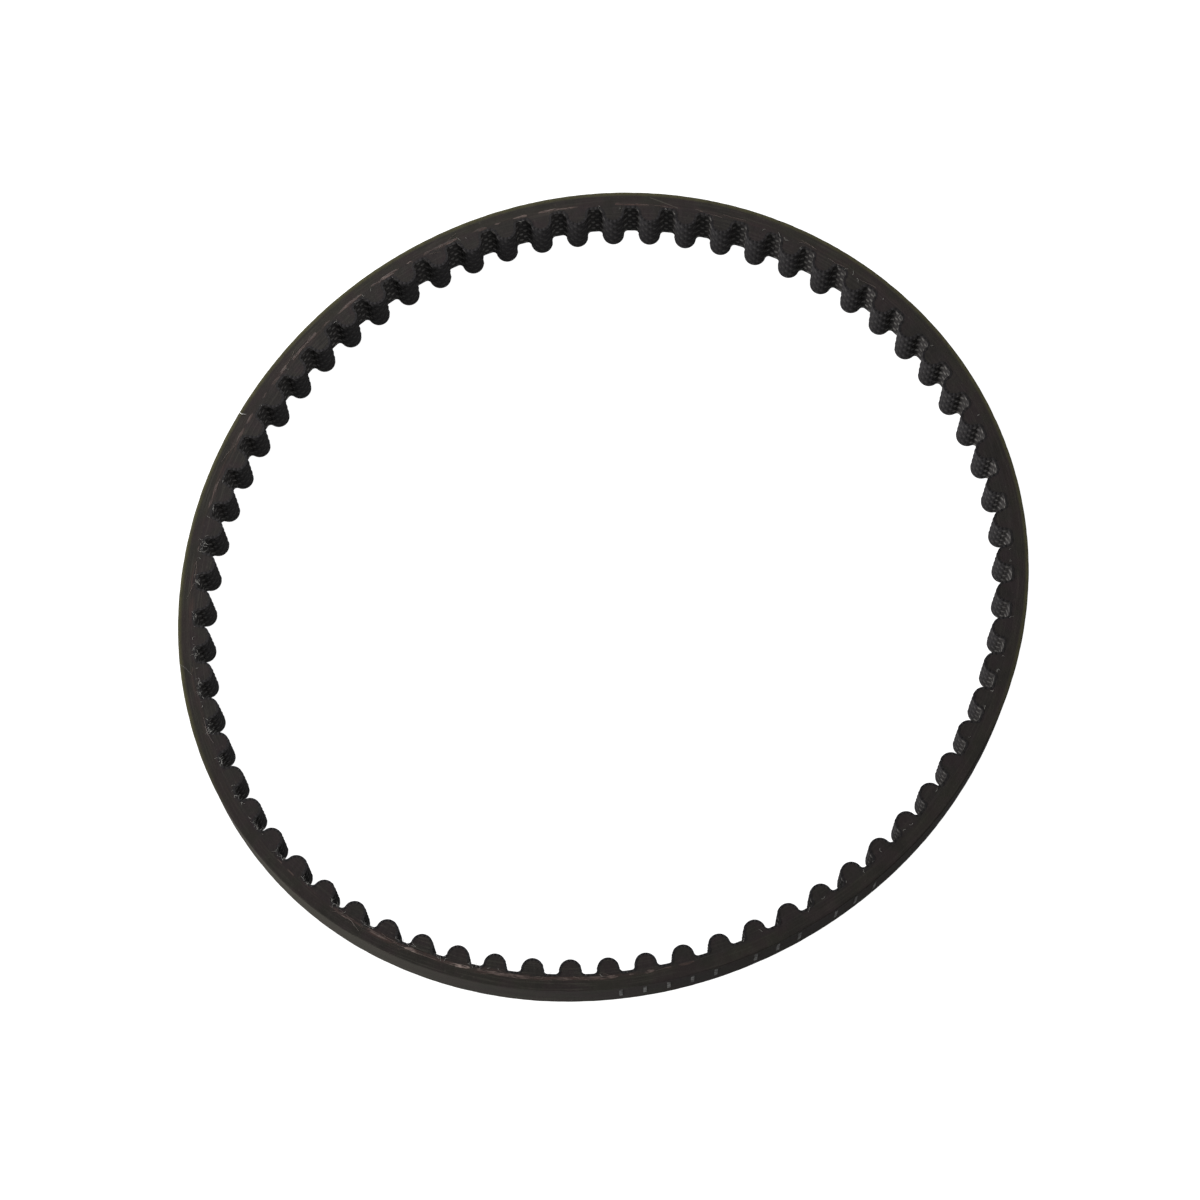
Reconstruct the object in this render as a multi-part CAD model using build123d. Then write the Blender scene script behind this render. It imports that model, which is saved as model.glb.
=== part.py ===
"""Timing belt: an endless synchronous belt with 67 round teeth at 3 mm pitch, 6 mm wide.

The belt stands on one slit edge as it lies at rest, a slightly oval ring with its teeth inward.
Millimetres, +Z up along the belt's width, +X along the oval's long axis, and the origin at the
middle of the bottom edge plane.

Layers from the outside in: ink marks, the back rubber, two tension cords wound side by side on
the pitch line, the tooth rubber, and the woven facing that wraps the teeth.
"""

import os
from math import asin, cos, degrees, pi, radians, sin

from build123d import *

# Standard profile: 3 mm pitch, round (curvilinear) tooth
PITCH = 3.0
TOOTH_COUNT = 67
BELT_WIDTH = 6.0
TOTAL_THICKNESS = 2.5       # back to tooth tip
TIP_RADIUS = 0.87           # half-round tooth
ROOT_RADIUS = 0.30          # quarter-round root on each side
PITCH_LINE_DEPTH = 0.381    # from the land between two teeth to the middle of the cords

# Layers
FACING_THICKNESS = 0.18
CORD_DIAMETER = 0.30
CORD_SPACING = 0.42         # between neighbouring turns, across the belt
CORD_TURNS = 14             # seven turns of each of the two cords
INK_THICKNESS = 0.03

# Relaxed shape: how far the resting ring departs from a circle
OVALITY = 1.32              # half the difference between the long and the short half-axis
LOBE_HEIGHT = 0.20          # a weak three-lobed set on top of the oval
LOBE_ANGLE = radians(-47)
BEND_COUNT = 16             # tangent arcs that make up the ring

# Ink marks: plain bars in groups along the back
MARK_GROUPS = (5, 3, 3)     # bars in each group
MARK_WIDTH = 0.26
MARK_HEIGHT = 3.0
MARK_CENTRE = 3.7           # height of the bars' middle above the lower edge
MARK_SPACING = 1.85
MARK_GROUP_GAP = 1.4        # extra space between two groups
MARK_START = 135.8          # along the pitch line from the +X axis to the first bar

PITCH_LENGTH = PITCH * TOOTH_COUNT
MEAN_RADIUS = PITCH_LENGTH / (2 * pi)
TOOTH_HEIGHT = TIP_RADIUS + ROOT_RADIUS
BACK_OFFSET = TOTAL_THICKNESS - TOOTH_HEIGHT - PITCH_LINE_DEPTH
TOOTH_CENTRE_OFFSET = -PITCH_LINE_DEPTH - ROOT_RADIUS
BEND_ANGLE = 2 * pi / BEND_COUNT
FIRST_CORD_HEIGHT = (BELT_WIDTH - (CORD_TURNS - 1) * CORD_SPACING) / 2


def direction(angle):
    """Unit vector at an angle from +X in the plane of the ring."""
    return Vector(cos(angle), sin(angle))


def bend_radius(angle):
    """Radius of the pitch line where its outward normal points at angle."""
    # second and third harmonics of the distance from the middle to the tangent line
    oval = 3 * OVALITY * cos(2 * angle)
    lobe = 8 * LOBE_HEIGHT * cos(3 * (angle - LOBE_ANGLE))
    return MEAN_RADIUS - oval - lobe


def make_bends():
    """The pitch line as (centre, radius, first angle) of tangent arcs, the first across +X."""
    radii = [bend_radius(number * BEND_ANGLE) for number in range(BEND_COUNT)]
    centres = [Vector(0, 0)]
    for number in range(BEND_COUNT - 1):
        shared_normal = direction((number + 0.5) * BEND_ANGLE)
        centres.append(centres[-1] + shared_normal * (radii[number] - radii[number + 1]))
    # put the middle of the ring's length and breadth on the origin
    quarter, half = BEND_COUNT // 4, BEND_COUNT // 2
    middle = Vector(
        (centres[0].X + radii[0] + centres[half].X - radii[half]) / 2,
        (centres[quarter].Y + radii[quarter] + centres[-quarter].Y - radii[-quarter]) / 2,
    )
    return [
        (centre - middle, radius, (number - 0.5) * BEND_ANGLE)
        for number, (centre, radius) in enumerate(zip(centres, radii))
    ]


BENDS = make_bends()


def place_on(length, offset):
    """The bend, the angle and the point at a length along the pitch line from +X, offset outward."""
    length = (length + BENDS[0][1] * BEND_ANGLE / 2) % PITCH_LENGTH
    for centre, radius, first_angle in BENDS:
        span = radius * BEND_ANGLE
        if length <= span:
            break
        length -= span
    angle = first_angle + length / radius
    return radius, angle, centre + direction(angle) * (radius + offset)


def point_on(length, offset):
    return place_on(length, offset)[2]


def ring_wire(offset):
    """The closed line at an offset from the pitch line."""
    arcs = [
        CenterArc(centre, radius + offset, degrees(first_angle), degrees(BEND_ANGLE))
        for centre, radius, first_angle in BENDS
    ]
    return Wire([arc.edge() for arc in arcs])


def unit(vector):
    return vector * (1 / vector.length)


def tooth_edges(number, skin):
    """Land, root, tip and root of one tooth; skin is the depth below the facing's surface."""
    tip_radius = TIP_RADIUS - skin
    root_radius = ROOT_RADIUS + skin
    land_offset = skin - PITCH_LINE_DEPTH
    middle = number * PITCH
    radius = place_on(middle, 0)[0]
    root_angle = 2 * asin(TOOTH_HEIGHT / 2 / (radius + TOOTH_CENTRE_OFFSET))
    reach = radius * root_angle
    tip_centre = point_on(middle, TOOTH_CENTRE_OFFSET)
    tip_top = point_on(middle, TOOTH_CENTRE_OFFSET - tip_radius)

    feet, shoulders, waists = [], [], []
    for side in (-1, 1):
        foot = point_on(middle + side * reach, land_offset)
        root_centre = point_on(middle + side * reach, TOOTH_CENTRE_OFFSET)
        across = unit(root_centre - tip_centre)
        shoulder = tip_centre + across * tip_radius
        bisector = unit(unit(foot - root_centre) - across)
        feet.append(foot)
        shoulders.append(shoulder)
        waists.append(root_centre + bisector * root_radius)

    next_radius = place_on(middle + PITCH, 0)[0]
    next_reach = next_radius * 2 * asin(TOOTH_HEIGHT / 2 / (next_radius + TOOTH_CENTRE_OFFSET))
    next_foot = point_on(middle + PITCH - next_reach, land_offset)
    land_middle = point_on(middle + PITCH / 2, land_offset)
    return [
        ThreePointArc(feet[0], waists[0], shoulders[0]).edge(),
        ThreePointArc(shoulders[0], tip_top, shoulders[1]).edge(),
        ThreePointArc(shoulders[1], waists[1], feet[1]).edge(),
        ThreePointArc(feet[1], land_middle, next_foot).edge(),
    ]


def toothed_wire(skin):
    edges = [edge for number in range(TOOTH_COUNT) for edge in tooth_edges(number, skin)]
    return Wire(edges)


def extrude_ring(outer, inner):
    """A ring between two closed lines, as wide as the belt."""
    return extrude(Face(outer, [inner]), amount=BELT_WIDTH, dir=(0, 0, 1)).solid()


def make_cord_turn():
    """One closed turn of cord on the pitch line at height 0, in 16 tangent bends."""
    pieces = []
    for centre, radius, first_angle in BENDS:
        outward = direction(first_angle)
        start = centre + outward * radius
        section = Plane(origin=start, x_dir=outward, z_dir=direction(first_angle + pi / 2))
        disc = section * Circle(CORD_DIAMETER / 2)
        axis = Axis(centre, (0, 0, 1))
        pieces.append(revolve(disc, axis, degrees(BEND_ANGLE)).solid())
    return pieces[0].fuse(*pieces[1:]).solid()


def make_cord_turns():
    turn = make_cord_turn()
    heights = [FIRST_CORD_HEIGHT + number * CORD_SPACING for number in range(CORD_TURNS)]
    return [Pos(0, 0, height) * turn for height in heights]


def cut_cord_grooves(ring, turns):
    return ring.cut(*turns).solid()


def make_back_rubber(turns):
    return cut_cord_grooves(extrude_ring(ring_wire(BACK_OFFSET), ring_wire(0)), turns)


def make_tooth_rubber(turns):
    """The rubber between the pitch line and the facing, with its 67 tooth cores."""
    return cut_cord_grooves(extrude_ring(ring_wire(0), toothed_wire(FACING_THICKNESS)), turns)


def make_tooth_facing():
    """The woven jacket: one even thickness over the lands, roots and tips."""
    return extrude_ring(toothed_wire(FACING_THICKNESS), toothed_wire(0))


def mark_positions():
    """Lengths along the pitch line of the bars' middles, group after group."""
    position = MARK_START
    for bars in MARK_GROUPS:
        for _ in range(bars):
            yield position
            position += MARK_SPACING
        position += MARK_GROUP_GAP


def make_mark(length):
    """One bar of ink on the back, bent with it."""
    radius, angle, point = place_on(length, BACK_OFFSET)
    centre = point - direction(angle) * (radius + BACK_OFFSET)
    half_angle = MARK_WIDTH / 2 / (radius + BACK_OFFSET)
    inner = radius + BACK_OFFSET
    outer = inner + INK_THICKNESS
    low, high = angle - half_angle, angle + half_angle
    corners = [centre + direction(turn) * reach for turn in (low, high) for reach in (inner, outer)]
    outline = Wire([
        ThreePointArc(corners[0], centre + direction(angle) * inner, corners[2]).edge(),
        Line(corners[2], corners[3]).edge(),
        ThreePointArc(corners[3], centre + direction(angle) * outer, corners[1]).edge(),
        Line(corners[1], corners[0]).edge(),
    ])
    bar = extrude(Face(outline), amount=MARK_HEIGHT, dir=(0, 0, 1)).solid()
    return Pos(0, 0, MARK_CENTRE - MARK_HEIGHT / 2) * bar


def make_nodes():
    turns = make_cord_turns()
    return {
        "back_rubber": make_back_rubber(turns),
        "tension_cord_s": Compound(children=turns[0::2]),
        "tension_cord_z": Compound(children=turns[1::2]),
        "tooth_rubber": make_tooth_rubber(turns),
        "tooth_facing": make_tooth_facing(),
        "ink_marks": Compound(children=[make_mark(length) for length in mark_positions()]),
    }


os.makedirs("parts", exist_ok=True)
for node, shape in make_nodes().items():
    export_step(shape, f"parts/{node}.step")
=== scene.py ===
"""Looks of the timing belt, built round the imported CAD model."""
from math import asin, cos, pi, radians, sin

import bpy
import numpy as np
from mathutils import Matrix, Vector


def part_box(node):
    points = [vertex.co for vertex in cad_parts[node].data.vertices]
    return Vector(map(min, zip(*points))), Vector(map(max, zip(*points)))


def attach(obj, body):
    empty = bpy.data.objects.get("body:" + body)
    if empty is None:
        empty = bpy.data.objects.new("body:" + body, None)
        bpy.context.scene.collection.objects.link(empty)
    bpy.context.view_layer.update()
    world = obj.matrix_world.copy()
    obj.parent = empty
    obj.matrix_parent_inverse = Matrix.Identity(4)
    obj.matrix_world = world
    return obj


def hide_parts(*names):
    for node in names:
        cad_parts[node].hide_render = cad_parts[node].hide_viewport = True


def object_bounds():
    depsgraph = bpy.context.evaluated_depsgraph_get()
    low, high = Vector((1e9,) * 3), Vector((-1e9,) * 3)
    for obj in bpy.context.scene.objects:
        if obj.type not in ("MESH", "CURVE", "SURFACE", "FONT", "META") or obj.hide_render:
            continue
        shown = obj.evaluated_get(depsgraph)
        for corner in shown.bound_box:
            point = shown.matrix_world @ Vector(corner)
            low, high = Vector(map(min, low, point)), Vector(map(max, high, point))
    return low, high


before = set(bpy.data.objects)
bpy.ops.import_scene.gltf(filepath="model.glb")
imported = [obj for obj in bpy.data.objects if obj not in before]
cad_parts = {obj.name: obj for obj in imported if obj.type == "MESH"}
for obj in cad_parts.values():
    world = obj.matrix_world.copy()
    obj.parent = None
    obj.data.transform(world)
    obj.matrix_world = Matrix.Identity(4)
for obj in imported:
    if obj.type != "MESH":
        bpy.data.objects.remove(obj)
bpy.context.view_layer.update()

MM = 0.001
SHARP_ANGLE = radians(50)

# The belt's own dimensions in mm, as in the CAD model
PITCH = 3.0
TOOTH_COUNT = 67
TOTAL_THICKNESS = 2.5
TIP_RADIUS = 0.87
ROOT_RADIUS = 0.30
PITCH_LINE_DEPTH = 0.381
FACING_THICKNESS = 0.18
CORD_RADIUS = 0.15
CORD_CLIMB = 0.84            # rise of one cord in one turn
OVALITY = 1.32               # bulge of the ring at its long axis, and pinch at its short one
LOBE_HEIGHT = 0.20           # bulge of each of three slight lobes
LOBE_ANGLE = radians(-47)    # direction of one of them
BEND_COUNT = 16
BACK_EDGE = 0.07             # radius of the worn corner between a slit edge and the back

BELT_WIDTH = (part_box("back_rubber")[1][2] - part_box("back_rubber")[0][2]) / MM
PITCH_LENGTH = PITCH * TOOTH_COUNT
TOOTH_HEIGHT = TIP_RADIUS + ROOT_RADIUS
BACK_OFFSET = TOTAL_THICKNESS - TOOTH_HEIGHT - PITCH_LINE_DEPTH
TOOTH_CENTRE_OFFSET = -PITCH_LINE_DEPTH - ROOT_RADIUS
BEND_ANGLE = 2 * pi / BEND_COUNT

# Camera, as the belt is seen: angles in degrees, distances in mm
CAMERA_AZIMUTH = -28.56
CAMERA_ELEVATION = 77.23
CAMERA_ROLL = 2.305
CAMERA_DISTANCE = 360.6
CAMERA_LENS = 137.25
CAMERA_AIM = (-0.58, -1.03)  # the point of the top edge plane that it looks at


# ---------------------------------------------------------------- the ring's line

def directions(angles):
    """Unit vectors in the plan, counted from +X."""
    return np.stack([np.cos(angles), np.sin(angles)], -1)


def make_bends():
    """Centres, radii and first angles of the tangent arcs of the pitch line, as in the CAD model."""
    angles = np.arange(BEND_COUNT) * BEND_ANGLE
    oval = 3 * OVALITY * np.cos(2 * angles)
    lobe = 8 * LOBE_HEIGHT * np.cos(3 * (angles - LOBE_ANGLE))
    radii = PITCH_LENGTH / (2 * pi) - oval - lobe
    steps = directions(angles[:-1] + BEND_ANGLE / 2) * (radii[:-1] - radii[1:])[:, None]
    centres = np.vstack([[0, 0], np.cumsum(steps, 0)])
    quarter, half = BEND_COUNT // 4, BEND_COUNT // 2
    middle = [
        (centres[0, 0] + radii[0] + centres[half, 0] - radii[half]) / 2,
        (centres[quarter, 1] + radii[quarter] + centres[-quarter, 1] - radii[-quarter]) / 2,
    ]
    return centres - middle, radii, angles - BEND_ANGLE / 2


CENTRES, RADII, FIRST_ANGLES = make_bends()
BEND_ENDS = np.cumsum(RADII * BEND_ANGLE)
BEND_STARTS = BEND_ENDS - RADII * BEND_ANGLE


def ring_points(lengths, offsets):
    """Points and outward normals at lengths along the pitch line from +X, offset outward."""
    lengths = (np.asarray(lengths, float) + RADII[0] * BEND_ANGLE / 2) % PITCH_LENGTH
    bend = np.minimum(np.searchsorted(BEND_ENDS, lengths), BEND_COUNT - 1)
    angles = FIRST_ANGLES[bend] + (lengths - BEND_STARTS[bend]) / RADII[bend]
    normals = directions(angles)
    reach = RADII[bend] + offsets
    return CENTRES[bend] + normals * reach[..., None], normals


# ---------------------------------------------------------------- meshes

def add_mesh(name, vertices, faces, material):
    """A smooth piece from vertices in mm, riding on the belt's one body."""
    mesh = bpy.data.meshes.new(name)
    corners = [[int(corner) for corner in face] for face in faces]
    mesh.from_pydata((np.asarray(vertices) * MM).tolist(), [], corners)
    mesh.validate()
    mesh.update()
    mesh.shade_smooth()
    mesh.set_sharp_from_angle(angle=SHARP_ANGLE)
    mesh.materials.append(material)
    piece = bpy.data.objects.new(name, mesh)
    bpy.context.scene.collection.objects.link(piece)
    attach(piece, "root")
    return piece


def loft_faces(columns, rows, closed_columns=True):
    """Quads that join neighbouring closed sections of rows points each.

    They face out where the rows run anticlockwise seen from the next section.
    """
    last = columns if closed_columns else columns - 1
    column, row = np.meshgrid(np.arange(last), np.arange(rows), indexing="ij")
    after, above = (column + 1) % columns, (row + 1) % rows
    quads = [column * rows + row, column * rows + above, after * rows + above, after * rows + row]
    return np.stack(quads, -1).reshape(-1, 4)


def loft_ring(name, sections, material):
    """A closed ring from sections[column, row] of points."""
    columns, rows = sections.shape[:2]
    return add_mesh(name, sections.reshape(-1, 3), loft_faces(columns, rows), material)


def store(piece, name, values, domain="POINT"):
    """Keep three numbers for each point or face corner, for the materials to read."""
    layer = piece.data.attributes.new(name, "FLOAT_VECTOR", domain)
    layer.data.foreach_set("vector", values.ravel().astype(np.float32))


def ripple(lengths, across, seed, waves, shortest, longest):
    """Smooth noise, mostly from -1 to 1, that closes round the ring; waves and across in mm."""
    random = np.random.default_rng(seed)
    total = 0
    for _ in range(waves):
        turns = max(1, round(PITCH_LENGTH / random.uniform(shortest, longest)))
        slant = random.normal(0, 2 * pi / longest)
        phase = random.uniform(0, 2 * pi)
        total = total + np.sin(2 * pi * turns * lengths / PITCH_LENGTH + slant * across + phase)
    return total / waves ** 0.5 / 1.5


# ---------------------------------------------------------------- wear, painted sheen and painted light

# first tooth, last tooth and strength of each stretch where the knife met a cord
SCUFFED = ((1, 17, 0.25), (18, 34, 0.4), (36, 47, 1.0))
FRAYED = (25, 42)            # first and last of the lands whose cut cloth is frayed
NYLON_FIBRES = 230
GLASS_FIBRES = 45
LIT_BACK_STRETCH = (28, 44)        # first and last tooth of the stretch where the back face gets painted light
RIM_WITHOUT_SHEEN = (31, 60)         # first and last tooth of the stretch where the top rim gets no painted sheen
# the scratch in mm: lengths along the ring of its two ends, and their offsets from the pitch line
SCRATCH_LENGTHS = (27.7, 30.1)
SCRATCH_OFFSETS = (-0.15, 0.56)
SCRATCH_REACH = 1.1          # from the scratch's middle to where it fades


def scuffing(lengths):
    """How much cord dust and fray shows at the slit, from 0 to 1, along the ring."""
    fade = 2.5  # teeth
    tooth = lengths / PITCH % TOOTH_COUNT
    amount = 0
    for first, last, strength in SCUFFED:
        amount = np.maximum(amount, strength * stretch(tooth, (first, last), fade, fade))
    return amount * np.clip(0.6 + 0.6 * ripple(lengths, 0 * lengths, 41, 9, 3, 12), 0, 1)


def stretch(tooth, ends, rise, fall):
    """1 between two teeth and 0 outside them, rising and falling over so many teeth."""
    return np.clip((tooth - ends[0]) / rise, 0, 1) * np.clip((ends[1] - tooth) / fall, 0, 1)


def mark_belt(piece, lengths, offsets, heights):
    """Each point's length, offset and height on the belt, its scuffing, and where painted rim sheen
    and painted light on the back go.
    """
    tooth = lengths / PITCH % TOOTH_COUNT
    # rim marks where painted sheen goes on both slit edges, left off the top rim over one stretch
    rim = np.where(heights > BELT_WIDTH / 2, 1 - stretch(tooth, RIM_WITHOUT_SHEEN, 3, 3), 1)
    # dust here marks painted light on the back face over one stretch of teeth, not real dust
    dust = stretch(tooth, LIT_BACK_STRETCH, 3, 8) * (offsets > BACK_OFFSET - 0.03)
    store(piece, "belt", np.stack([lengths, offsets, heights], -1))
    # besides the scuffing, the wear vector places the painted rim sheen and the painted light on the
    # back
    store(piece, "wear", np.stack([scuffing(lengths), rim, dust], -1))


# ---------------------------------------------------------------- materials

# tones of what lies on the rubber, and of the painted sheen and painted light on it
PAINTED_BACK_LIGHT = (0.036, 0.033, 0.026, 1)
PAINTED_RIM_SHEEN = (0.066, 0.062, 0.029, 1)
CORD_DUST = (0.068, 0.041, 0.035, 1)
STROKE = (0.066, 0.062, 0.050, 1)
SCRATCH_TONE = (0.09, 0.085, 0.07, 1)
SPECK = (0.06, 0.054, 0.046, 1)


class Nodes:
    """Short names for building one material's nodes."""

    def __init__(self, name):
        self.material = bpy.data.materials.new(name)
        self.material.use_nodes = True
        self.tree = self.material.node_tree
        self.shader = self.tree.nodes["Principled BSDF"]

    def wire(self, value, socket):
        if isinstance(value, bpy.types.NodeSocket):
            self.tree.links.new(value, socket)
        else:
            socket.default_value = value

    def maths(self, operation, *values):
        node = self.tree.nodes.new("ShaderNodeMath")
        node.operation = operation
        for value, socket in zip(values, node.inputs):
            self.wire(value, socket)
        return node.outputs[0]

    def mix(self, factor, first, second):
        node = self.tree.nodes.new("ShaderNodeMix")
        node.data_type = "RGBA"
        self.wire(factor, node.inputs["Factor"])
        self.wire(first, node.inputs["A"])
        self.wire(second, node.inputs["B"])
        return node.outputs["Result"]

    def range(self, value, low, high, to_low, to_high):
        """Value carried from the range low to high onto to_low to to_high, and clamped there."""
        node = self.tree.nodes.new("ShaderNodeMapRange")
        for number, socket in zip((value, low, high, to_low, to_high), node.inputs):
            self.wire(number, socket)
        return node.outputs["Result"]

    def noise(self, scale, detail=4.0, vector=None, roughness=0.6):
        node = self.tree.nodes.new("ShaderNodeTexNoise")
        node.inputs["Scale"].default_value = scale
        node.inputs["Detail"].default_value = detail
        node.inputs["Roughness"].default_value = roughness
        source = vector or self.tree.nodes.new("ShaderNodeTexCoord").outputs["Object"]
        self.tree.links.new(source, node.inputs["Vector"])
        return node.outputs["Fac"]

    def attribute(self, name):
        """A stored vector and its three numbers."""
        node = self.tree.nodes.new("ShaderNodeAttribute")
        node.attribute_name = name
        split = self.tree.nodes.new("ShaderNodeSeparateXYZ")
        self.tree.links.new(node.outputs["Vector"], split.inputs[0])
        return node.outputs["Vector"], split.outputs["X"], split.outputs["Y"], split.outputs["Z"]

    def scaled(self, vector, factors):
        node = self.tree.nodes.new("ShaderNodeVectorMath")
        node.operation = "MULTIPLY"
        self.tree.links.new(vector, node.inputs[0])
        node.inputs[1].default_value = factors
        return node.outputs[0]

    def product(self, first, *others):
        for other in others:
            first = self.maths("MULTIPLY", first, other)
        return first

    def distance(self, value, place):
        return self.maths("ABSOLUTE", self.maths("SUBTRACT", value, place))

    def swell(self, along, shift, phase):
        """1 where a yarn crests over its crossings and -1 where it dives, along in yarns."""
        turned = self.maths("SUBTRACT", self.maths("SUBTRACT", along, shift), phase)
        return self.maths("COSINE", self.maths("MULTIPLY", turned, pi))

    def round(self, yarns):
        """Height across the yarn, from 0 at its sides to 1 on its crest."""
        return self.maths("SINE", self.maths("MULTIPLY", self.maths("FRACT", yarns), pi))

    def finish(self, colour, roughness, height=None, depth=0.0, specular=0.5):
        self.wire(colour, self.shader.inputs["Base Color"])
        self.wire(roughness, self.shader.inputs["Roughness"])
        self.shader.inputs["Specular IOR Level"].default_value = specular
        if height is not None:
            bump = self.tree.nodes.new("ShaderNodeBump")
            bump.inputs["Distance"].default_value = depth * MM
            self.tree.links.new(height, bump.inputs["Height"])
            self.tree.links.new(bump.outputs["Normal"], self.shader.inputs["Normal"])
        return self.material


def rubber_material(name, base, bloom):
    """Matte chloroprene with bloom, streaks from the slitting knife and cord dust, plus a painted
    sheen along the rims and painted light on part of the back.
    """
    nodes = Nodes(name)
    vector, length, offset, height = nodes.attribute("belt")
    # scuff is real wear; rim and dust place the painted rim sheen and the painted light on the back
    _, scuff, rim, dust = nodes.attribute("wear")
    grain = nodes.noise(14000, 3)
    cloud = nodes.noise(260, 4)
    colour = nodes.mix(nodes.range(cloud, 0.35, 0.7, 0, 1), base, bloom)
    warm = nodes.range(nodes.noise(520, 2), 0.42, 0.6, 0, 0.7)
    reddish = (base[0] * 1.35, base[1] * 1.1, base[2] * 1.3, 1)
    colour = nodes.mix(warm, colour, reddish)
    # long strokes along the belt, stronger where the knife met a cord
    strokes = nodes.noise(1.0, 3, nodes.scaled(vector, (0.22, 7, 7)))
    share = nodes.range(scuff, 0, 1, 0.18, 0.6)
    strokes = nodes.product(nodes.range(strokes, 0.5, 0.68, 0, 1), share)
    colour = nodes.mix(strokes, colour, STROKE)
    specks = nodes.range(nodes.noise(3800, 2), 0.66, 0.74, 0, 0.35)
    colour = nodes.mix(specks, colour, SPECK)
    # distance from the middle of the width picks out both slit edges
    side = nodes.distance(height, BELT_WIDTH / 2)
    slit = nodes.range(side, BELT_WIDTH / 2 - 0.1, BELT_WIDTH / 2 - 0.04, 0, 1)
    edge = nodes.range(offset, BACK_OFFSET - 0.36, BACK_OFFSET - 0.10, 0, 1)
    edge_side = nodes.range(side, BELT_WIDTH / 2 - 0.32, BELT_WIDTH / 2 - 0.04, 0, 1)
    ragged = nodes.range(nodes.noise(2400, 3), 0.3, 0.6, 0.5, 1)
    # painted sheen: a pale olive band along the back's worn corners at both slit edges
    colour = nodes.mix(nodes.product(edge, edge_side, ragged, rim), colour, PAINTED_RIM_SHEEN)
    # painted light: the back face made lighter over the stretch of teeth that faces the key light
    colour = nodes.mix(nodes.product(dust, ragged), colour, PAINTED_BACK_LIGHT)
    near_cord = nodes.range(nodes.distance(offset, -0.05), 0.1, 0.33, 1, 0)
    streaks = nodes.noise(1.0, 4, nodes.scaled(vector, (0.5, 5, 5)))
    streaks = nodes.range(streaks, 0.45, 0.62, 0, 1)
    dusty = nodes.product(near_cord, streaks, slit, scuff)
    colour = nodes.mix(dusty, colour, CORD_DUST)
    # one scratch runs across the slit edge at a slant
    slant = nodes.range(length, *SCRATCH_LENGTHS, *SCRATCH_OFFSETS)
    scratch = nodes.range(nodes.distance(offset, slant), 0.015, 0.05, 0.55, 0)
    from_middle = nodes.distance(length, sum(SCRATCH_LENGTHS) / 2)
    inside = nodes.range(from_middle, SCRATCH_REACH, SCRATCH_REACH + 0.1, 1, 0)
    colour = nodes.mix(nodes.product(scratch, inside, slit), colour, SCRATCH_TONE)
    roughness = nodes.range(cloud, 0.3, 0.7, 0.66, 0.86)
    coarse = nodes.product(nodes.noise(3000, 3), 0.8)
    relief = nodes.maths("ADD", nodes.maths("ADD", grain, coarse), strokes)
    return nodes.finish(colour, roughness, relief, 0.02, specular=0.14)


def facing_material():
    """Plain weave of crimped nylon: worn floats with a painted glint on each crest, over dark
    rubber-filled gaps with painted shade at the yarns' sides.
    """
    nodes = Nodes("woven_facing")
    vector, x, y, bare = nodes.attribute("weave")
    column, row = nodes.maths("FLOOR", x), nodes.maths("FLOOR", y)
    weft_swell, warp_swell = nodes.swell(x, row, 0.5), nodes.swell(y, column, 1.5)
    weft_round, warp_round = nodes.round(y), nodes.round(x)
    weft = nodes.product(weft_round, nodes.range(weft_swell, -1, 1, 0.1, 1))
    warp = nodes.product(warp_round, nodes.range(warp_swell, -1, 1, 0.0, 0.6))
    height = nodes.maths("MAXIMUM", weft, warp)
    # partly worn pale nylon, partly a painted glint: a pale bead on the crest of each weft float
    bead_and_glint_length = nodes.range(weft_swell, 0.0, 0.6, 0, 1)
    bead_and_glint_width = nodes.range(weft_round, 0.35, 0.8, 0, 1)
    filaments = nodes.noise(1.0, 2, nodes.scaled(vector, (1.5, 20, 1)))
    wear = nodes.range(nodes.noise(700, 3), 0.36, 0.6, 0.3, 1)
    share = nodes.product(bead_and_glint_length, bead_and_glint_width, wear, bare)
    pale_float_and_glint_tone = nodes.mix(filaments, (0.045, 0.042, 0.040, 1), (0.20, 0.19, 0.175, 1))
    # painted shade: each yarn darker towards its sides and lighter on its crest
    gap_and_shade_tone = nodes.mix(weft_round, (0.0125, 0.011, 0.011, 1), (0.024, 0.021, 0.0205, 1))
    # on the tips the rubber has struck through and hides the gaps
    open_gaps = nodes.range(bare, 0.2, 0.7, 0, 1)
    gap_and_shade_tone = nodes.mix(open_gaps, (0.0105, 0.009, 0.010, 1), gap_and_shade_tone)
    colour = nodes.mix(share, gap_and_shade_tone, pale_float_and_glint_tone)
    roughness = nodes.range(share, 0, 1, 0.75, 0.40)
    relief = nodes.maths("ADD", height, nodes.product(filaments, 0.2))
    return nodes.finish(colour, roughness, relief, 0.09, specular=0.26)


def cord_material():
    """Cut and rubbed glass cord: reddish-brown adhesive with pale broken filaments."""
    nodes = Nodes("glass_cord")
    vector, _, _, bright = nodes.attribute("lay")
    strands = nodes.noise(1.0, 3, nodes.scaled(vector, (1.6, 9, 0)))
    broken = nodes.noise(1.0, 2, nodes.scaled(vector, (0.45, 1.5, 0)))
    reddish = nodes.range(strands, 0.35, 0.65, 0, 1)
    colour = nodes.mix(reddish, (0.020, 0.015, 0.013, 1), (0.055, 0.033, 0.028, 1))
    patches, crests = nodes.range(broken, 0.42, 0.58, 0, 1), nodes.range(strands, 0.4, 0.6, 0, 1)
    pale = nodes.product(patches, crests, bright)
    colour = nodes.mix(pale, colour, (0.30, 0.235, 0.21, 1))
    return nodes.finish(colour, 0.55, strands, 0.03, specular=0.3)


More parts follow.
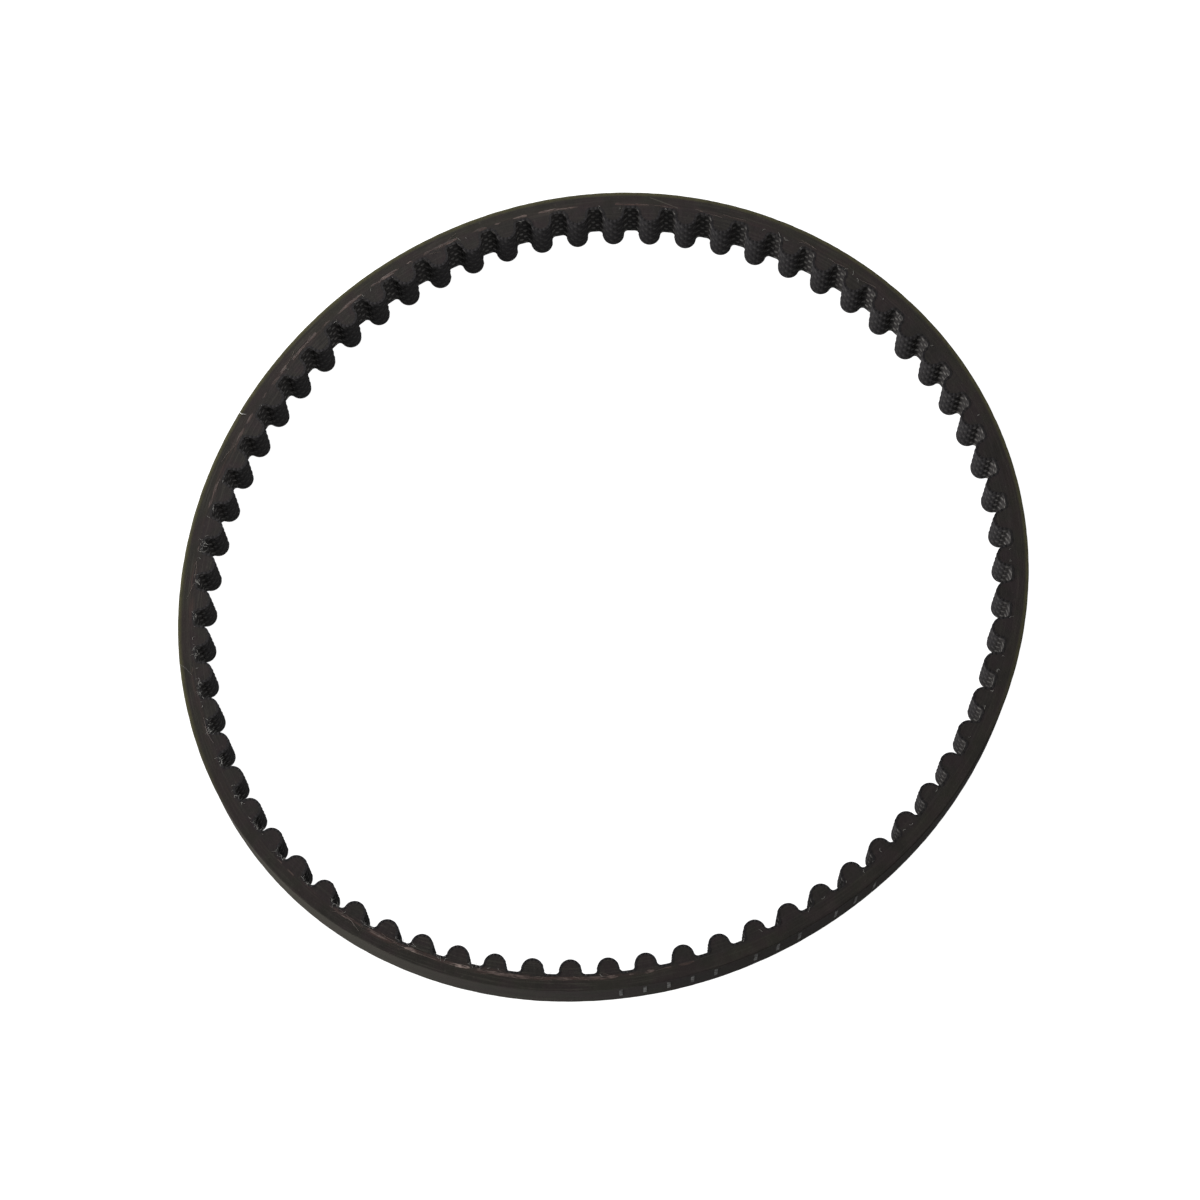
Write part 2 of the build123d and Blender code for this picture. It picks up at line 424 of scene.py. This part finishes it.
def ink_material():
    """Pale stamped ink, thin and broken where it has rubbed off."""
    nodes = Nodes("ink")
    worn = nodes.range(nodes.noise(2600, 4), 0.44, 0.58, 0, 1)
    colour = nodes.mix(worn, (0.045, 0.043, 0.041, 1), (0.19, 0.19, 0.185, 1))
    return nodes.finish(colour, 0.6, nodes.noise(9000, 2), 0.01, specular=0.3)


def fibre_material(name, dark, pale):
    """Smooth thread whose tone wanders between dark and pale."""
    nodes = Nodes(name)
    colour = nodes.mix(nodes.noise(3000, 2), dark, pale)
    roughness = nodes.range(nodes.noise(900, 2), 0.3, 0.7, 0.4, 0.6)
    return nodes.finish(colour, roughness, nodes.noise(9000, 2), 0.002)


def floor_material():
    """White paper that stays evenly white in the light."""
    nodes = Nodes("floor")
    colour = nodes.mix(nodes.noise(30, 2), (0.30, 0.30, 0.30, 1), (0.31, 0.31, 0.31, 1))
    nodes.shader.inputs["Emission Color"].default_value = (1, 1, 1, 1)
    nodes.shader.inputs["Emission Strength"].default_value = 1.0
    return nodes.finish(colour, 0.9, specular=0.1)


# ---------------------------------------------------------------- the teeth's outline

LAND_STEPS, ROOT_STEPS, TIP_STEPS = 4, 4, 20
COLUMNS_PER_TOOTH = LAND_STEPS + 2 * ROOT_STEPS + TIP_STEPS
YARNS_PER_TOOTH = 12
YARNS_ACROSS = 8
FOOT_SHARE = 1.02            # half a tooth's foot along the pitch line, as a share of its height


def tooth_outline():
    """Facing surface points, outward normals and distance along the cloth for every column."""
    points, normals = [], []
    for number in range(TOOTH_COUNT):
        middle = number * PITCH
        reach, next_reach = foot_reach(middle), foot_reach(middle + PITCH)
        hub, outward = ring_points([middle], TOOTH_CENTRE_OFFSET)
        roots, root_normals = ring_points([middle - reach, middle + reach], TOOTH_CENTRE_OFFSET)
        across = [(root - hub[0]) / np.linalg.norm(root - hub[0]) for root in roots]
        lengths = np.linspace(middle + reach, middle + PITCH - next_reach, LAND_STEPS, endpoint=False)
        first_root = arc(roots[0], ROOT_RADIUS, root_normals[0], -across[0], ROOT_STEPS)
        tip = arc(hub[0], TIP_RADIUS, across[0], across[1], TIP_STEPS, -outward[0])
        last_root = arc(roots[1], ROOT_RADIUS, -across[1], root_normals[1], ROOT_STEPS)
        land = ring_points(lengths, -PITCH_LINE_DEPTH)
        # the facing's outer side looks away from the arc's centre only on the tip
        for (places, ways), facing in ((first_root, -1), (tip, 1), (last_root, -1), (land, -1)):
            points.append(places)
            normals.append(ways * facing)
    points, normals = np.vstack(points), np.vstack(normals)
    steps = np.linalg.norm(np.roll(points, -1, 0) - points, axis=1)
    along = np.concatenate([[0], np.cumsum(steps)])
    return points, normals, along / along[-1] * TOOTH_COUNT * YARNS_PER_TOOTH


def local_radius(length):
    """Radius of the bend that a length along the pitch line falls in."""
    length = (length + RADII[0] * BEND_ANGLE / 2) % PITCH_LENGTH
    return RADII[min(np.searchsorted(BEND_ENDS, length), BEND_COUNT - 1)]


def foot_reach(middle):
    """Length along the pitch line from a tooth's middle to the end of its root."""
    radius = local_radius(middle)
    return radius * 2 * asin(TOOTH_HEIGHT / 2 / (radius + TOOTH_CENTRE_OFFSET))


def arc(centre, radius, start, end, steps, through=None):
    """Points and directions from start round to end, the last left out; through picks the long way."""
    first = np.arctan2(start[1], start[0])
    turn = (np.arctan2(end[1], end[0]) - first + pi) % (2 * pi) - pi
    if through is not None:
        halfway = (np.arctan2(through[1], through[0]) - first + pi) % (2 * pi) - pi
        turn = 2 * halfway
    ways = directions(first + turn * np.arange(steps) / steps)
    return centre + ways * radius, ways


OUTLINE, OUTLINE_NORMALS, OUTLINE_YARNS = tooth_outline()
COLUMNS = len(OUTLINE)


# ---------------------------------------------------------------- pieces

def raise_to(flat, height):
    """3-D points from plan points and a height, or one height each."""
    return np.concatenate([flat, np.broadcast_to(height, flat.shape[:-1])[..., None]], -1)


def make_facing(material):
    """The woven jacket, with the floats of its plain weave standing in its surface."""
    rows = 41
    relief, unevenness, proud = 0.042, 0.010, 0.012
    yarn = np.arange(rows) / (rows - 1) * YARNS_ACROSS
    x, y = np.meshgrid(OUTLINE_YARNS[:-1], yarn, indexing="ij")
    floats = np.sin(pi * x) * np.sin(pi * y)
    uneven = ripple(x / YARNS_PER_TOOTH * PITCH, y, 3, 9, 1.5, 9)
    rise = relief * floats + unevenness * uneven
    flat = OUTLINE[:, None] + OUTLINE_NORMALS[:, None] * rise[..., None]
    heights = np.repeat(np.linspace(0, BELT_WIDTH, rows)[None], COLUMNS, 0)
    # the cut ends of the yarns stand a little proud of the slit edge
    cut = proud + proud * np.sin(pi * OUTLINE_YARNS[:-1])
    heights[:, -1] += cut
    outside = raise_to(flat, heights)
    inside = OUTLINE - OUTLINE_NORMALS * FACING_THICKNESS
    top = raise_to(inside, BELT_WIDTH + cut * 0.6)[:, None]
    bottom = raise_to(inside, 0)[:, None]
    sections = np.concatenate([outside, top, bottom], 1)
    piece = loft_ring("woven_tooth_facing", sections, material)
    mark_weave(piece, rows)
    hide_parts("tooth_facing")
    return piece


def mark_weave(piece, rows):
    """Each face corner's place in the weave, in yarns, and how bare of rubber the cloth is there."""
    per_column = rows + 2
    corners = np.empty(len(piece.data.loops), int)
    piece.data.loops.foreach_get("vertex_index", corners)
    corners = corners.reshape(-1, 4)
    column, row = corners // per_column, corners % per_column
    wraps = (column.max(1) - column.min(1)) > 1
    yarn_x = OUTLINE_YARNS[column]
    yarn_x[wraps[:, None] & (column == 0)] = OUTLINE_YARNS[-1]
    yarn_y = np.where(row < rows, row / (rows - 1) * YARNS_ACROSS, YARNS_ACROSS)
    yarn_y = np.where(row == rows + 1, 0, yarn_y)
    # rubber struck through the cloth darkens it on the tips and leaves it bare on the lands
    rise = np.array([rise_above_land(point) for point in range(COLUMNS)])
    bare = np.interp(rise, [0.0, 0.35, 0.6, 1.0], [1.0, 0.7, 0.25, 0.15])
    bare = np.where(row < rows, bare[column], 0)
    store(piece, "weave", np.stack([yarn_x, yarn_y, bare], -1), "CORNER")


def rise_above_land(column):
    """How far a column of the outline stands up from the land, from 0 to 1 at the tip."""
    within = column % COLUMNS_PER_TOOTH
    land_start = COLUMNS_PER_TOOTH - LAND_STEPS
    if within >= land_start:
        return 0.0
    if within < ROOT_STEPS:
        turn = within / ROOT_STEPS * pi / 2
        return ROOT_RADIUS * (1 - cos(turn)) / TOOTH_HEIGHT
    if within < ROOT_STEPS + TIP_STEPS:
        turn = (within - ROOT_STEPS) / TIP_STEPS * pi
        return (ROOT_RADIUS + TIP_RADIUS * sin(turn)) / TOOTH_HEIGHT
    turn = (land_start - within) / ROOT_STEPS * pi / 2
    return ROOT_RADIUS * (1 - cos(turn)) / TOOTH_HEIGHT


def make_tooth_rubber(material):
    """The rubber inside the facing, showing at both slit edges."""
    unevenness = 0.010
    inner = OUTLINE - OUTLINE_NORMALS * FACING_THICKNESS
    lengths = np.concatenate([spread_over_pitch(number) for number in range(TOOTH_COUNT)])
    outer, _ = ring_points(lengths, 0)
    shares = np.linspace(0, 1, 6)
    plan = outer[:, None] * (1 - shares[:, None]) + inner[:, None] * shares[:, None]
    rough = unevenness * ripple(lengths[:, None], shares * 2, 11, 24, 0.3, 2.5)
    top = raise_to(plan, BELT_WIDTH + rough * np.sin(pi * shares))
    bottom = raise_to(plan[:, ::-1], np.abs(rough[:, ::-1] * np.sin(pi * shares)))
    sections = np.concatenate([top, bottom], 1)[:, ::-1]
    piece = loft_ring("tooth_rubber_body", sections, material)
    offsets = -np.linalg.norm(sections[..., :2] - outer[:, None], axis=2)
    mark_belt(piece, np.repeat(lengths[:, None], len(shares) * 2, 1), offsets, sections[..., 2])
    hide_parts("tooth_rubber")
    return piece


def spread_over_pitch(number):
    """Lengths along the pitch line that face one tooth's columns."""
    start = number * COLUMNS_PER_TOOTH
    here = slice(start, start + COLUMNS_PER_TOOTH)
    foot = (number * PITCH) - TOOTH_HEIGHT * FOOT_SHARE
    shares = (OUTLINE_YARNS[here] - OUTLINE_YARNS[start]) / YARNS_PER_TOOTH
    # a tooth's outline is longer than its share of the pitch line
    return foot + shares * PITCH


def back_section():
    """Offsets and heights round the back's section, and how many of its points are on top."""
    flat = np.array([0, 0.15, 0.3, 0.45, 0.6, 0.75, BACK_OFFSET - BACK_EDGE])
    corner = np.radians([22, 45, 68, 90])
    corner_across = BACK_OFFSET - BACK_EDGE + BACK_EDGE * np.sin(corner)
    corner_drop = BACK_EDGE * (1 - np.cos(corner))
    wall = np.linspace(BELT_WIDTH - BACK_EDGE, BACK_EDGE, 16)[1:-1]
    half_across = np.concatenate([flat, corner_across])
    half_drop = np.concatenate([np.zeros(len(flat)), corner_drop])
    offsets = np.concatenate([half_across, np.full(len(wall), BACK_OFFSET), half_across[::-1]])
    heights = np.concatenate([BELT_WIDTH - half_drop, wall, half_drop[::-1]])
    return offsets, heights, len(half_across)


def make_back_rubber(material):
    """The back, with slit edges that the knife has dragged and slightly rounded."""
    steps_per_tooth = 16
    fine_drag, coarse_drag, nick_depth, skin_depth = 0.012, 0.010, 0.02, 0.006
    lengths = np.arange(TOOTH_COUNT * steps_per_tooth) / steps_per_tooth * PITCH
    offsets, heights, top_count = back_section()
    s, d = np.meshgrid(lengths, offsets, indexing="ij")
    z = np.repeat(heights[None], len(lengths), 0)
    top = np.arange(len(offsets)) < top_count
    drag = fine_drag * ripple(s, d, 21, 30, 0.4, 4) + coarse_drag * ripple(s, d * 3, 22, 12, 6, 40)
    # the top face stays flat where it meets the cords
    taper = np.clip(d / 0.2, 0, 1)
    z = z + np.where(top, drag * taper, 0)
    nick = nick_depth * np.clip(ripple(s, z, 23, 40, 0.5, 3), -1, 0.2)
    near_edge = np.exp(-np.minimum(z, BELT_WIDTH - z) / 0.12) * (d > BACK_OFFSET - BACK_EDGE * 1.01)
    skin = skin_depth * ripple(s, z, 24, 18, 1.5, 12) * (d > BACK_OFFSET - 0.001)
    d = d + nick * near_edge + skin
    plan, _ = ring_points(s.ravel(), d.ravel())
    sections = np.concatenate([plan, z.reshape(-1, 1)], 1).reshape(*s.shape, 3)
    piece = loft_ring("back_rubber_body", sections, material)
    mark_belt(piece, s, d, z)
    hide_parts("back_rubber")
    return piece


def cut_flush(offset, z, centre, patchy, crest, spread):
    """Cord points after the knife has taken what stands past either slit edge.

    The cut stands proud by crest at its middle and falls away within spread radii.
    """
    proud, low_share, least_reach = 0.010, 0.3, 0.02
    above = (centre - BELT_WIDTH) / CORD_RADIUS
    below = centre / CORD_RADIUS
    high = BELT_WIDTH + proud * (crest - above ** 2 / spread ** 2) + patchy
    low = -low_share * proud * (1 - 4 * below ** 2) - low_share * patchy
    lowest, highest = np.where(below < 2, low, -1), np.where(above > -2, high, BELT_WIDTH + 1)
    cut = np.clip(z, lowest, highest)
    reach = np.sqrt(np.clip(CORD_RADIUS ** 2 - (cut - centre) ** 2, least_reach ** 2, None))
    return np.where(z == cut, offset, np.clip(offset, -reach, reach)), cut


def make_cord(name, node, top_tooth, hand, crest, spread, teeth, brightness, material):
    """One cord of three twisted plies, wound as a helix that leaves the top edge at top_tooth."""
    step, sides, plies = 0.25, 9, 3
    ply_height, lay = 0.12, 1.6
    crown, patch_height, wander_width, least = 0.5, 0.012, 0.03, 0.002
    turns = (BELT_WIDTH + 2 * CORD_RADIUS) / CORD_CLIMB
    lengths = top_tooth * PITCH + CORD_RADIUS / CORD_CLIMB * PITCH_LENGTH
    lengths = lengths - np.arange(0, turns * PITCH_LENGTH, step)
    rise = BELT_WIDTH + (lengths - top_tooth * PITCH) / PITCH_LENGTH * CORD_CLIMB
    around = np.arange(sides) / sides * 2 * pi
    s, a = np.meshgrid(lengths, around, indexing="ij")
    centre = np.repeat(rise[:, None], sides, 1)
    twist = hand * 2 * pi * s / lay / plies
    radius = CORD_RADIUS * (1 + ply_height * np.cos(plies * (a - twist)) - ply_height)
    offset, z = radius * np.cos(a), centre + radius * np.sin(a)
    patchy = patch_height * ripple(s, 0 * s, 51 + hand, 14, 1.2, 8) - crown * offset ** 2
    offset, z = cut_flush(offset, z, centre, patchy, crest, spread)
    # a little thickness is left where the knife has taken the whole cord
    offset, z = offset + least * np.cos(a), z + least * np.sin(a)
    wander = wander_width * ripple(s, 0 * s, 31, 8, 4, 30) - wander_width
    plan, _ = ring_points(s.ravel(), (offset + wander).ravel())
    vertices = np.concatenate([plan, z.reshape(-1, 1)], 1)
    ends = [range(sides)[::-1], range(len(vertices) - sides, len(vertices))]
    faces = [*loft_faces(len(lengths), sides, closed_columns=False), *ends]
    piece = add_mesh(name, vertices, faces, material)
    bright = np.interp(s / PITCH % TOOTH_COUNT, teeth, brightness)
    store(piece, "lay", np.stack([s, a * CORD_RADIUS + 0 * s, bright], -1))
    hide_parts(node)


def make_fibres(name, fibres, radius, material):
    """Thin four-sided tubes along lists of points in mm, joined in one piece."""
    tip_share = 0.6
    slanting = (0.31, 0.17, 0.94)  # a direction that no fibre follows
    vertices, faces = [], []
    for path in fibres:
        path = np.asarray(path, float)
        along = np.gradient(path, axis=0)
        along /= np.linalg.norm(along, axis=1)[:, None]
        side = np.cross(along, slanting)
        side /= np.linalg.norm(side, axis=1)[:, None]
        other = np.cross(along, side)
        thin = radius * np.linspace(1, tip_share, len(path))[:, None]
        ring = np.stack([side * thin, other * thin, -side * thin, -other * thin], 1)
        start = sum(len(block) for block in vertices)
        vertices.append((path[:, None] + ring).reshape(-1, 3))
        last = start + len(path) * 4
        faces.append(loft_faces(len(path), 4, closed_columns=False) + start)
        faces.append(np.array([[start + 3, start + 2, start + 1, start]]))
        faces.append(np.array([[last - 4, last - 3, last - 2, last - 1]]))
    return add_mesh(name, np.vstack(vertices), np.vstack(faces), material)


def wandering_fibre(random, start, heading, reach, lift, bend):
    """Points of one fibre from (length, offset, height), curling as it goes."""
    steps = 7
    base, normal = ring_points([start[0]], start[1])
    normal = normal[0]
    tangent = np.array([-normal[1], normal[0]])
    points = [np.array([*base[0], start[2]])]
    for _ in range(steps):
        flat = (tangent * cos(heading) + normal * sin(heading)) * reach / steps
        points.append(points[-1] + np.array([*flat, lift / steps * random.uniform(0.3, 1.5)]))
        heading += random.normal(0, bend)
    return points


def nylon_fibre(random):
    """One short curl at the facing's cut edge, more often on a frayed land than elsewhere."""
    frayed = random.uniform() < 0.6
    land = random.integers(FRAYED[0], FRAYED[1]) + 0.5 + random.normal(0, 0.14)
    length = land * PITCH if frayed else random.uniform(0, PITCH_LENGTH)
    start = (length, -random.uniform(0.28, 0.4), BELT_WIDTH)
    heading, reach = random.uniform(-pi, pi), random.uniform(0.12, 0.45)
    return wandering_fibre(random, start, heading, reach, random.uniform(0.02, 0.10), 0.6)


def glass_fibre(random):
    """One broken filament lying along the cords, or None where the knife missed them."""
    start = (random.uniform(0, PITCH_LENGTH), random.normal(-0.08, 0.08), BELT_WIDTH + 0.008)
    if random.uniform() >= scuffing(np.array([start[0]]))[0]:
        return None
    heading = random.choice([0, pi]) + random.normal(0, 0.12)
    reach = random.uniform(0.5, 1.9)
    return wandering_fibre(random, start, heading, reach, 0.02, 0.08)


def make_fuzz():
    """Fibres that the slitting knife left: nylon at the facing's cut edge, glass at the cords."""
    thickness = 0.010
    random = np.random.default_rng(7)
    nylon = [nylon_fibre(random) for _ in range(NYLON_FIBRES)]
    glass = []
    while len(glass) < GLASS_FIBRES:
        fibre = glass_fibre(random)
        if fibre is not None:
            glass.append(fibre)
    pale = fibre_material("nylon_fibre", (0.12, 0.115, 0.11, 1), (0.42, 0.41, 0.38, 1))
    make_fibres("facing_fuzz", nylon, thickness, pale)
    broken = fibre_material("glass_fibre", (0.06, 0.044, 0.038, 1), (0.24, 0.19, 0.17, 1))
    make_fibres("cord_fray", glass, thickness, broken)


def make_lint():
    """Two fine fibres caught across the rim: one white and curled, one faint."""
    curl_length, hair_length = 68.40, 89.2  # where they lie along the ring
    curl_thickness, hair_thickness = 0.032, 0.010
    turn = np.linspace(0, 1, 26)
    heights = BELT_WIDTH + 0.03 + 0.10 * np.sin(turn * pi)
    curled, _ = ring_points(curl_length + 0.10 * np.sin(turn * 4), BACK_OFFSET + 0.04 - 0.62 * turn)
    faint, _ = ring_points(hair_length + 0.9 * turn ** 1.5, BACK_OFFSET - 0.85 * turn)
    white = fibre_material("lint_fibre", (0.45, 0.44, 0.42, 1), (0.7, 0.69, 0.66, 1))
    make_fibres("lint_curl", [np.column_stack([curled, heights])], curl_thickness, white)
    pale = fibre_material("hair_fibre", (0.10, 0.095, 0.09, 1), (0.22, 0.21, 0.2, 1))
    make_fibres("lint_hair", [np.column_stack([faint, heights - 0.02])], hair_thickness, pale)


def paint_marks(material):
    """The stamped marks keep their CAD shape and get worn ink."""
    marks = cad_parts["ink_marks"]
    marks.data.materials.clear()
    marks.data.materials.append(material)


# ---------------------------------------------------------------- camera, lights and floor

def view_axes(elevation):
    """Right, up-in-view and towards-viewer axes at the camera's azimuth."""
    azimuth, lift = radians(CAMERA_AZIMUTH), radians(elevation)
    right = Vector((cos(azimuth), sin(azimuth), 0))
    back = Vector((sin(azimuth), -cos(azimuth), 0))
    towards = back * cos(lift) + Vector((0, 0, 1)) * sin(lift)
    return right, towards.cross(right), towards


def make_camera():
    """The camera that the belt is seen from, rolled a little about its own line of sight."""
    right, up, towards = view_axes(CAMERA_ELEVATION)
    roll = radians(CAMERA_ROLL)
    rolled_right = right * cos(roll) - up * sin(roll)
    rolled_up = right * sin(roll) + up * cos(roll)
    aim = Vector((CAMERA_AIM[0], CAMERA_AIM[1], BELT_WIDTH)) * MM
    data = bpy.data.cameras.new("camera")
    data.lens = CAMERA_LENS
    data.clip_start = 0.01
    data.clip_end = 20
    camera = bpy.data.objects.new("camera", data)
    axes = Matrix((rolled_right, rolled_up, towards)).transposed().to_4x4()
    camera.matrix_world = Matrix.Translation(aim + towards * CAMERA_DISTANCE * MM) @ axes
    bpy.context.scene.collection.objects.link(camera)
    bpy.context.scene.camera = camera


def add_softbox(name, right_m, away_m, up_m, size_m, watts):
    """A square area light placed by the camera's right, away and up, aimed at the belt."""
    right, _, _ = view_axes(0)
    away = Vector((-right.y, right.x, 0))
    place = right * right_m + away * away_m + Vector((0, 0, up_m))
    data = bpy.data.lights.new(name, "AREA")
    data.energy = watts
    data.size = size_m
    light = bpy.data.objects.new(name, data)
    light.location = place
    light.rotation_euler = place.to_track_quat("Z", "Y").to_euler()
    bpy.context.scene.collection.objects.link(light)


def make_stage():
    """A white floor that leaves the belt's shadows soft, a pale world and three softboxes."""
    floor_size = 3.0  # metres
    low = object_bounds()[0][2]
    half = floor_size / 2
    mesh = bpy.data.meshes.new("floor")
    corners = [(-half, -half, low), (half, -half, low), (half, half, low), (-half, half, low)]
    mesh.from_pydata(corners, [], [(0, 1, 2, 3)])
    mesh.materials.append(floor_material())
    floor = bpy.data.objects.new("floor", mesh)
    bpy.context.scene.collection.objects.link(floor)
    floor.visible_diffuse = False
    floor.visible_glossy = False
    world = bpy.data.worlds.new("studio")
    world.use_nodes = True
    background = world.node_tree.nodes["Background"]
    background.inputs["Color"].default_value = (1, 1, 1, 1)
    background.inputs["Strength"].default_value = 0.205
    bpy.context.scene.world = world
    bpy.context.scene.view_settings.view_transform = "Standard"
    add_softbox("key_left", right_m=-0.78, away_m=-0.27, up_m=0.14, size_m=0.35, watts=12)
    add_softbox("near_fill", right_m=0.60, away_m=-0.50, up_m=0.12, size_m=0.4, watts=1.3)
    add_softbox("top_fill", right_m=-0.08, away_m=0.10, up_m=0.09, size_m=0.06, watts=0.19)


CORD_S = dict(
    name="tension_cord_s_winding", node="tension_cord_s", top_tooth=18, hand=1,
    crest=0.1, spread=1.0, teeth=(6, 17, 19), brightness=(0.4, 0.4, 0.12),
)
CORD_Z = dict(
    name="tension_cord_z_winding", node="tension_cord_z", top_tooth=41.5, hand=-1,
    crest=0.85, spread=0.40, teeth=(38.8, 39.4, 41.2, 41.7), brightness=(0.25, 1, 1, 0.3),
)

make_camera()
make_stage()
back_look = rubber_material("back_rubber", (0.0185, 0.0163, 0.0145, 1), (0.0290, 0.0275, 0.0210, 1))
tooth_look = rubber_material("tooth_rubber", (0.0185, 0.0163, 0.0150, 1), (0.0260, 0.0240, 0.0210, 1))
cord_look = cord_material()
make_facing(facing_material())
make_tooth_rubber(tooth_look)
make_back_rubber(back_look)
make_cord(material=cord_look, **CORD_S)
make_cord(material=cord_look, **CORD_Z)
make_fuzz()
make_lint()
paint_marks(ink_material())
